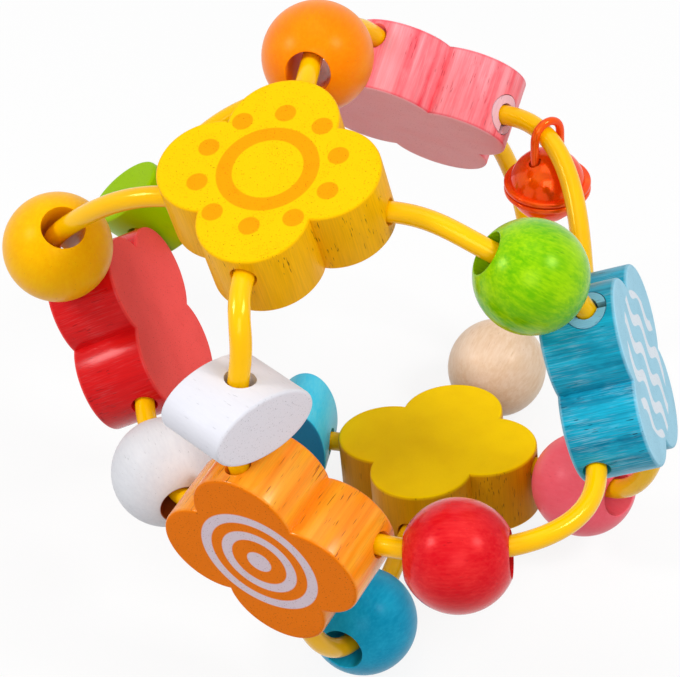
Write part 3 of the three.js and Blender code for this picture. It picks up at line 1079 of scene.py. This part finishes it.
@dataclass(frozen=True)
class SplitPlug:
    """The split ring in a petal's tip that closes the hole over a cord's joint."""

    node: str
    sleeve: str
    finish: BlockFinish
    radius: float = 0.004
    depth: float = 0.005
    slit: float = 0.0012
    gap: float = 0.00015
    sleeve_radius: float = 0.0032

    def axis(self, seat: Seat) -> Matrix:
        """Finds the plug's place in its block.

        Args:
            seat: where its block sits.

        Returns:
            The place, with Z along the plug's bore and out of the petal.
        """
        points = seat.inside(self.node)
        middle = (points.max(0) + points.min(0)) / 2
        out = Vector((middle[0], middle[1], 0)).normalized()
        direction = Vector((round(out.x), round(out.y), 0))
        turn = Vector((0, 0, 1)).rotation_difference(direction).to_matrix().to_4x4()
        return Matrix.Translation((0, 0, float(points[:, 2].mean()))) @ turn

    def hole_tool(self, seat: Seat) -> Object:
        """Makes the solid that cuts the stepped hole for the plug and the sleeve under it.

        Args:
            seat: where its block sits.

        Returns:
            The tool, in the block's own axes.
        """
        axis = self.axis(seat)
        heights = seat.inside(self.sleeve) @ np.array(axis.col[2][:3])
        foot = float(heights.min()) - self.gap
        floor = PETAL_REACH - self.depth
        end = PETAL_REACH + CUT_OVERRUN
        slim = self.sleeve_radius + self.gap
        wide = self.radius + self.gap
        outline = [(0, foot), (slim, foot), (slim, floor), (wide, floor), (wide, end), (0, end)]
        tool = turned_solid("plug_tool", outline)
        tool.data.transform(axis)
        return tool

    def build(self, seat: Seat) -> None:
        """Makes the plug: a ring with one slit, trimmed flush with the petal.

        Args:
            seat: where its block sits.
        """
        end = PETAL_REACH + CUT_OVERRUN
        floor = PETAL_REACH - self.depth + self.gap
        bore = BORE_RADIUS - self.gap
        outline = [(bore, floor), (self.radius, floor), (self.radius, end), (bore, end)]
        piece = turned_solid(f"{self.node}_ring", outline)
        slit = bar("slit_tool", (2 * self.radius, self.slit, 2 * end), (self.radius, 0, 0))
        carve(piece, slit, Cut.TAKE_OUT)
        piece.data.transform(self.axis(seat))
        carve(piece, flower_board("flush_tool"), Cut.KEEP_SHARED)
        seat_piece(piece, seat)
        hand_over(piece, self.finish.material(piece.name, seat), FRAME_BODY, self.node)


@dataclass(frozen=True)
class FlowerBlock:
    """A flower-shaped block, with the bores that its cords pass through and its plug hole."""

    node: str
    finish: BlockFinish
    plug: SplitPlug | None = None
    mouth_flare: float = 0.00024
    mouth_depth: float = 0.00036

    def bores(self, seat: Seat) -> list[tuple[bool, float]]:
        """Finds the bores from the cords inside the block.

        Args:
            seat: where the block sits.

        Returns:
            For each bore, whether it runs along X, and its height over the middle of the board.
        """
        found = []
        for cord in CORD_NAMES:
            points = seat.inside(cord)
            within_block = np.abs(points) < (PETAL_RADIUS, PETAL_RADIUS, BOARD_THICKNESS / 2)
            held = points[within_block.all(axis=1)]
            if len(held) >= CORD_SIDES:
                across = np.ptp(held, axis=0)
                found.append((bool(across[0] > across[1]), float(held[:, 2].mean())))
        return found

    def bore_tool(self, along_x: bool, height: float) -> Object:
        """The solid that cuts a bore with flared mouths.

        Args:
            along_x: whether the bore runs along X, and not along Y.
            height: its height over the middle of the board.

        Returns:
            The tool, in the block's own axes.
        """
        end = PETAL_REACH + CUT_OVERRUN
        throat = PETAL_REACH - self.mouth_depth
        flared = BORE_RADIUS + self.mouth_flare
        outline = [
            (0, -end),
            (flared, -end),
            (flared, -PETAL_REACH),
            (BORE_RADIUS, -throat),
            (BORE_RADIUS, throat),
            (flared, PETAL_REACH),
            (flared, end),
            (0, end),
        ]
        tool = turned_solid("bore_tool", outline)
        turn = Euler((0, math.pi / 2, 0)) if along_x else Euler((math.pi / 2, 0, 0))
        tool.data.transform(Matrix.Translation((0, 0, height)) @ turn.to_matrix().to_4x4())
        return tool

    def build(self) -> None:
        """Makes the block, and its plug where it has one."""
        seat = Seat.of_block(self.node)
        piece = flower_board(self.node.replace("flower", "block"))
        for along_x, height in self.bores(seat):
            carve(piece, self.bore_tool(along_x, height), Cut.TAKE_OUT)
        if self.plug:
            carve(piece, self.plug.hole_tool(seat), Cut.TAKE_OUT)
            self.plug.build(seat)
        seat_piece(piece, seat)
        hand_over(piece, self.finish.material(piece.name, seat), FRAME_BODY, self.node)


@dataclass(frozen=True)
class RoundBead:
    """A turned round bead with a wide bore."""

    node: str
    finish: PaintFinish
    bore: float = BEAD_BORE_RADIUS
    radius: float = 0.01085
    rim: float = 0.0009

    def build(self) -> None:
        """Makes the bead from a ball with its poles cut off and its bore bridged."""
        seat = Seat.of_turned(self.node)
        shape = bmesh.new()
        bmesh.ops.create_uvsphere(
            shape, u_segments=BEAD_STEPS, v_segments=BEAD_STEPS // 2, radius=self.radius
        )
        mouth = math.sqrt(self.radius**2 - self.bore**2)
        for side in (-1, 1):
            bmesh.ops.bisect_plane(
                shape,
                geom=shape.verts[:] + shape.edges[:] + shape.faces[:],
                plane_co=(0, 0, side * mouth),
                plane_no=(0, 0, side),
                clear_outer=True,
            )
        rims = [edge for edge in shape.edges if edge.is_boundary]
        bmesh.ops.bridge_loops(shape, edges=rims)
        bmesh.ops.recalc_face_normals(shape, faces=shape.faces[:])
        round_edges(shape, rims, self.rim)
        piece = new_object(f"{self.node}_turned", shape)
        seat_piece(piece, seat)
        hand_over(piece, self.finish.material(piece.name, seat), self.node, self.node)


@dataclass(frozen=True)
class OvalBead:
    """An oval slice of board, bored through its flatter sides."""

    node: str
    finish: PaintFinish
    length: float = 0.02415
    height: float = 0.01366
    bore: float = 0.003

    def build(self) -> None:
        """Makes the bead from an ellipse cut from board."""
        seat = Seat.of_oval(self.node)
        shape = bmesh.new()
        bmesh.ops.create_circle(shape, cap_ends=True, segments=BEAD_STEPS, radius=0.5)
        bmesh.ops.scale(shape, verts=shape.verts[:], vec=(self.length, self.height, 1))
        cut_from_board(shape)
        piece = new_object(f"{self.node}_cut", shape)
        tool = rod("oval_tool", self.bore, -self.height, self.height)
        tool.data.transform(Matrix.Rotation(math.pi / 2, 4, "X"))
        carve(piece, tool, Cut.TAKE_OUT)
        seat_piece(piece, seat)
        hand_over(piece, self.finish.material(piece.name, seat), self.node, self.node)


@dataclass(frozen=True)
class SoftTube:
    """A cord or wire that follows its frame node, with a rounder section."""

    node: str
    radius: float
    sides: int
    body: str

    def build(self, material: Material) -> None:
        """Makes the tube from the node's own rings, swelled and subdivided back to its size.

        Args:
            material: the tube's finish.
        """
        shape = bmesh.new()
        shape.from_mesh(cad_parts[self.node].data)
        bmesh.ops.remove_doubles(shape, verts=shape.verts[:], dist=WELD_DISTANCE)
        longest = [max(face.edges, key=lambda edge: edge.calc_length()) for face in shape.faces]
        shared = [edge for edge in dict.fromkeys(longest) if longest.count(edge) == 2]
        bmesh.ops.dissolve_edges(shape, edges=shared, use_verts=False)
        piece = new_object(f"{self.node}_round", shape)
        shade_smooth(piece)
        swell = piece.modifiers.new("swell", "DISPLACE")
        swell.mid_level = 0.0
        # Smoothing pulls the corners of an even ring in to this share of its radius
        pulled_in = (2 + math.cos(math.tau / self.sides)) / 3
        swell.strength = (self.radius - TUBE_SHRINK) / pulled_in - self.radius
        smooth = piece.modifiers.new("smooth", "SUBSURF")
        smooth.levels = TUBE_LEVELS
        smooth.render_levels = TUBE_LEVELS
        bake_modifiers(piece)
        hand_over(piece, material, self.body, self.node)


@dataclass(frozen=True)
class JingleBell:
    """The bell's two half shells."""

    finish: SmoothFinish
    radius: float = 0.0077
    wall: float = 0.0007
    seam: float = 0.00015
    lip_radius: float = 0.0088
    lip_thickness: float = 0.0011
    slot_width: float = 0.0014
    slot_length: float = 0.010
    slot_end_radius: float = 0.0015
    slot_start: float = 0.002
    loop_half_width: float = 0.00325
    leg_hole_radius: float = 0.0012

    def half_shell(self, name: str) -> Object:
        """A half shell above the seam, with a rounded lip.

        Args:
            name: the object's name.

        Returns:
            The shell, in the bell's own axes.
        """
        lip = self.seam + self.lip_thickness
        inside = self.radius - self.wall
        shape = bmesh.new()
        ends = []
        for radius, height in ((self.radius, lip), (inside, self.seam)):
            start = math.asin(height / radius)
            first = shape.verts.new((radius * math.cos(start), 0, radius * math.sin(start)))
            ends.append(first)
            bmesh.ops.spin(
                shape,
                geom=[first],
                cent=(0, 0, 0),
                axis=(0, -1, 0),
                angle=math.pi / 2 - start,
                steps=SHELL_STEPS,
            )
        rim_top = shape.verts.new((self.lip_radius, 0, lip))
        rim_foot = shape.verts.new((self.lip_radius, 0, self.seam))
        for first, second in ((ends[0], rim_top), (rim_top, rim_foot), (rim_foot, ends[1])):
            shape.edges.new((first, second))
        spin_round(shape, BEAD_STEPS)
        rims = [edge for edge in shape.edges if is_level(edge) and self.on_lip(edge)]
        round_edges(shape, rims, self.lip_thickness / 3)
        return new_object(name, shape)

    def on_lip(self, edge: BMEdge) -> bool:
        """Whether an edge lies on the outside of the lip."""
        return all(vert.co.xy.length > self.lip_radius - LIP_MATCH for vert in edge.verts)

    def loop_turn(self) -> Matrix:
        """Finds how the loop's plane is turned about the bell's axis.

        Returns:
            The turn.
        """
        points = Seat.of_bell().inside("bell_loop")[:, :2]
        spread = np.linalg.eigh(np.cov(points.T))[1][:, 1]
        return Matrix.Rotation(math.atan2(spread[1], spread[0]), 4, "Z")

    def slot_tools(self, turn: float) -> list[Object]:
        """The solids that cut one slot with round ends in the lower shell.

        Args:
            turn: the slot's direction about the bell's axis.

        Returns:
            The tools, in the bell's own axes.
        """
        size = (self.slot_length, self.slot_width, 2 * self.radius)
        tools = [bar("slot_tool", size, (0, 0, -self.radius - self.slot_start))]
        for side in (-1, 1):
            tool = rod("slot_end_tool", self.slot_end_radius, -2 * self.radius, -self.slot_start)
            tool.data.transform(Matrix.Translation((side * self.slot_length / 2, 0, 0)))
            tools.append(tool)
        for tool in tools:
            tool.data.transform(self.loop_turn() @ Matrix.Rotation(turn, 4, "Z"))
        return tools

    def build(self) -> Material:
        """Makes both shells.

        Returns:
            The bell's material, which its loop shares.
        """
        seat = Seat.of_bell()
        material = self.finish.material("bell_enamel")
        upper = self.half_shell("bell_upper_dome")
        for side in (-1, 1):
            tool = rod("leg_tool", self.leg_hole_radius, 0, 2 * self.radius)
            tool.data.transform(self.loop_turn() @ Matrix.Translation((side * self.loop_half_width, 0, 0)))
            carve(upper, tool, Cut.TAKE_OUT)
        lower = self.half_shell("bell_lower_bowl")
        lower.data.transform(Matrix.Rotation(math.pi, 4, "X"))
        for turn in (0, math.pi / 2):
            for tool in self.slot_tools(turn):
                carve(lower, tool, Cut.TAKE_OUT)
        for piece, node in ((upper, "bell_upper_shell"), (lower, "bell_lower_shell")):
            seat_piece(piece, seat)
            hand_over(piece, material, BELL_BODY, node)
        return material


BLUE_PLUG = BlockFinish(face="8cc4da", side="6cb0cc", pore="2a6a88", wash="8cc6dc", coat=0.1)
PINK_PLUG = BlockFinish(face="f2c6d0", side="eab0bc", pore="b87a86", wash="f4ccd4", coat=0.1)
GOLDEN_PLUG = BlockFinish(face="f8c402", side="d8980a", pore="8a5a05", wash="e4ac14", coat=0.1)

BLOCKS = (
    FlowerBlock(
        "yellow_top_flower",
        BlockFinish(
            face="ffc408", side="f4ac00", pore="6e4200", wash="fcc006",
            motif=Motif.DOTTED_RING, ink="ff9c08",
            banding=0.35, specks=0.5, roughness=0.4,
        ),
    ),
    FlowerBlock(
        "pink_back_flower",
        BlockFinish(
            face="ffbec8", side="fa4252", pore="b02434", wash="ffa2aa", rim="e63c4c",
            banding=1.2, mottle=0.26, streak_and_glint_share=0.12, pores=0.5, specks=0.35,
        ),
        SplitPlug("girdle_plug", "girdle_sleeve", PINK_PLUG),
    ),
    FlowerBlock(
        "blue_right_flower",
        BlockFinish(
            face="a8d8ec", side="06789a", pore="003850", wash="20badc",
            motif=Motif.WAVES, ink="e6eef6",
            banding=1.0, mottle=0.4, lines=0.32, streak_and_glint_share=0.26, roughness=0.32, coat=0.12,
        ),
        SplitPlug("cross_plug", "cross_sleeve", BLUE_PLUG),
    ),
    FlowerBlock(
        "orange_front_flower",
        BlockFinish(
            face="ee7806", side="fe8200", pore="7a3000", wash="ffb030",
            motif=Motif.RINGS, ink="dccbd6",
            banding=1.1, pores=0.66, pore_length=4.0, specks=0.5, roughness=0.25, coat=0.44,
        ),
    ),
    FlowerBlock(
        "yellow_base_flower",
        BlockFinish(
            face="ffd802", side="c87c02", pore="6e4200", wash="dca008",
            banding=0.4, specks=0.06, roughness=0.45,
        ),
        SplitPlug("upright_plug", "upright_sleeve", GOLDEN_PLUG),
    ),
    FlowerBlock(
        "red_left_flower",
        BlockFinish(
            face="ff5c58", side="d0020e", pore="7a0008", wash="e81c1c",
            # Its few pale streaks are mostly painted highlight
            banding=0.5, streak_and_glint_share=0.04, pores=0.5, specks=0.3, roughness=0.25, coat=0.26,
        ),
    ),
)

BEADS = (
    RoundBead("orange_bead", PaintFinish("fb8200", "ffa010", "b35a04", mottle=0.4, grain=0.18, shine=0.3)),
    RoundBead("yellow_bead", PaintFinish("f8b002", "ffcc0c", "b8860a", grain=0.3, coat=0.04, shine=0.16)),
    RoundBead(
        "green_bead",
        PaintFinish(
            "62b400", "c4ec0c", "4a9a04",
            mottle=0.5, grain=0.3, roughness=0.22, coat=0.12, shine=0.22,
        ),
    ),
    RoundBead("natural_bead", PaintFinish("e4c6a2", "f8e6d2", "c8a880", mottle=0.6, grain=0.4, shine=0.3)),
    RoundBead("pink_bead", PaintFinish("f86070", "ff8490", "b8283e", grain=0.14)),
    RoundBead(
        "red_bead",
        PaintFinish(
            "d20218", "ff4a44", "9a0010",
            mottle=0.26, grain=0.18, roughness=0.23, coat=0.1, shine=0.36,
        ),
        LOOSE_BORE_RADIUS,
    ),
    RoundBead("blue_bead", PaintFinish("0690ba", "2cb4d8", "0a5a80", mottle=0.5)),
    RoundBead(
        "white_bead",
        PaintFinish(
            "e0e1e6", "d4d5dc", "b0b0b8", bore_shade_colour="a4541c",
            mottle=0.5, grain=0.4, roughness=0.5, coat=0.04,
        ),
    ),
    OvalBead(
        "white_oval_bead",
        PaintFinish("e0e0e8", "d6d6e0", "86848e", end_grain_and_shade_colour="e2e0e8", roughness=0.5, coat=0.04),
    ),
    OvalBead(
        "green_oval_bead",
        PaintFinish("9cd400", "b4e004", "3f7a06", end_grain_and_shade_colour="9cc800", coat=0.04, shine=0.1),
    ),
    # The teal bead's darker end colour is partly painted shade
    OvalBead("teal_oval_bead", PaintFinish("30d0f8", "70e2fa", "0c6a88", end_grain_and_shade_colour="247faa", mottle=0.6)),
)

CORD_PLASTIC = SmoothFinish(
    "ffc400", "ffb400", "ffe068", PLASTIC_CLOUDS, PLASTIC_RIPPLE,
    roughness=0.16, coat=0.12, cloud_share=0.4, ripple_roughness=0.08, coat_roughness=0.1,
)
BELL_ENAMEL = SmoothFinish(
    "f84a00", "ff8418", "ff8418", METAL_CLOUDS, METAL_RIPPLE,
    roughness=0.13, coat=0.22, metallic=0.34, cloud_roughness=0.1, cloud_relief=1.0,
)
PLAIN_STEEL = SmoothFinish(
    "b8b8ba", "a0a0a4", "a0a0a4", METAL_CLOUDS, METAL_RIPPLE,
    roughness=0.3, coat=0.0, metallic=1.0, cloud_roughness=0.1, cloud_relief=1.0,
)
HIDDEN_NODES = ("upright_sleeve", "cross_sleeve", "girdle_sleeve", "bell_pellet")


@dataclass(frozen=True)
class SoftBox:
    """A soft studio lamp."""

    name: str
    place: tuple[float, float, float]
    size: float
    power: float

    def build(self) -> None:
        """Makes the lamp and points it at the ball."""
        lamp = bpy.data.lights.new(self.name, "AREA")
        lamp.shape = "SQUARE"
        lamp.size = self.size
        lamp.energy = self.power
        made = bpy.data.objects.new(self.name, lamp)
        made.location = self.place
        made.rotation_euler = (BALL_MIDDLE - Vector(self.place)).to_track_quat("-Z", "Y").to_euler()
        bpy.context.scene.collection.objects.link(made)


@dataclass(frozen=True)
class Studio:
    """Camera, lamps, pale floor and white surroundings."""

    lamps: tuple[SoftBox, ...]
    ambient: float
    floor_size: float
    floor_white: float
    floor_fade: tuple[float, float]
    floor_colour: str
    floor_bounce: str

    def build(self) -> None:
        """Sets up the whole studio."""
        self.camera()
        self.world()
        self.floor()
        for lamp in self.lamps:
            lamp.build()

    def camera(self) -> None:
        """Puts the camera at the photograph's viewing angle."""
        data = bpy.data.cameras.new("camera")
        data.lens = CAMERA_LENS
        data.sensor_width = SENSOR_WIDTH
        made = bpy.data.objects.new("camera", data)
        made.location = CAMERA_PLACE
        made.rotation_euler = Euler([math.radians(angle) for angle in CAMERA_TURN])
        bpy.context.scene.collection.objects.link(made)
        bpy.context.scene.camera = made

    def world(self) -> None:
        """Lights the scene softly from all round, and shows white to the camera and in gloss."""
        world = bpy.data.worlds.new("studio")
        bpy.context.scene.world = world
        world.use_nodes = True
        tree = NodeTree(world.node_tree)
        seen = tree.seen()
        strength = seen + (1 - seen) * self.ambient
        shown = tree.node("ShaderNodeBackground", {}, {"Color": WHITE, "Strength": strength})
        tree.node("ShaderNodeOutputWorld", {}, {"Surface": shown.outputs[0]})

    def floor(self) -> None:
        """Makes the pale floor, nearly white to the camera, with the ball's shadow."""
        shape = bmesh.new()
        bmesh.ops.create_grid(shape, x_segments=1, y_segments=1, size=self.floor_size)
        made = new_object("floor", shape)
        shader = Shader("floor")
        seen = shader.seen()
        shown = shader.mix(seen, tint(self.floor_bounce), tint(self.floor_colour))
        lit = shader.node("ShaderNodeBsdfDiffuse", {}, {"Color": shown})
        white = shader.node("ShaderNodeEmission", {}, {"Color": WHITE, "Strength": 1.0})
        x, y, _ = shader.axes(shader.whole())
        far = shader.length(x, y).rise(*self.floor_fade)
        share = seen * (far * (1 - self.floor_white) + self.floor_white)
        both = shader.node("ShaderNodeMixShader", {}, {0: share, 1: lit.outputs[0], 2: white.outputs[0]})
        shader.tree.links.new(both.outputs[0], shader.output.inputs["Surface"])
        dress(made, shader.material)


STUDIO = Studio(
    lamps=(
        SoftBox("key_light", (-0.6, -0.3, 0.59), 0.2, 2.8),
        SoftBox("side_light", (0.54, -0.08, 0.66), 0.2, 2.65),
        SoftBox("top_light", (0.04, 0.0, 0.9), 0.5, 0.85),
        SoftBox("front_light", (0.26, -0.84, 0.66), 0.5, 2.7),
    ),
    ambient=0.42,
    floor_size=3.0,
    floor_white=0.86,
    floor_fade=(0.2, 0.9),
    floor_colour="f4f4f4",
    floor_bounce="bababa",
)


def main() -> None:
    """Builds the studio and every piece in order."""
    logging.basicConfig(level=logging.INFO, format="%(name)s: %(message)s")
    bpy.context.scene.view_settings.view_transform = "Standard"
    STUDIO.build()
    for block in BLOCKS:
        block.build()
    plastic = CORD_PLASTIC.material("cord_plastic")
    for node in CORD_NAMES:
        SoftTube(node, CORD_RADIUS, CORD_SIDES, FRAME_BODY).build(plastic)
    for bead in BEADS:
        bead.build()
    enamel = JingleBell(BELL_ENAMEL).build()
    SoftTube("bell_loop", WIRE_RADIUS, WIRE_SIDES, BELL_BODY).build(enamel)
    steel = PLAIN_STEEL.material("plain_steel")
    for node in HIDDEN_NODES:
        dress(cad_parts[node], steel)


if __name__ == "__main__":
    main()
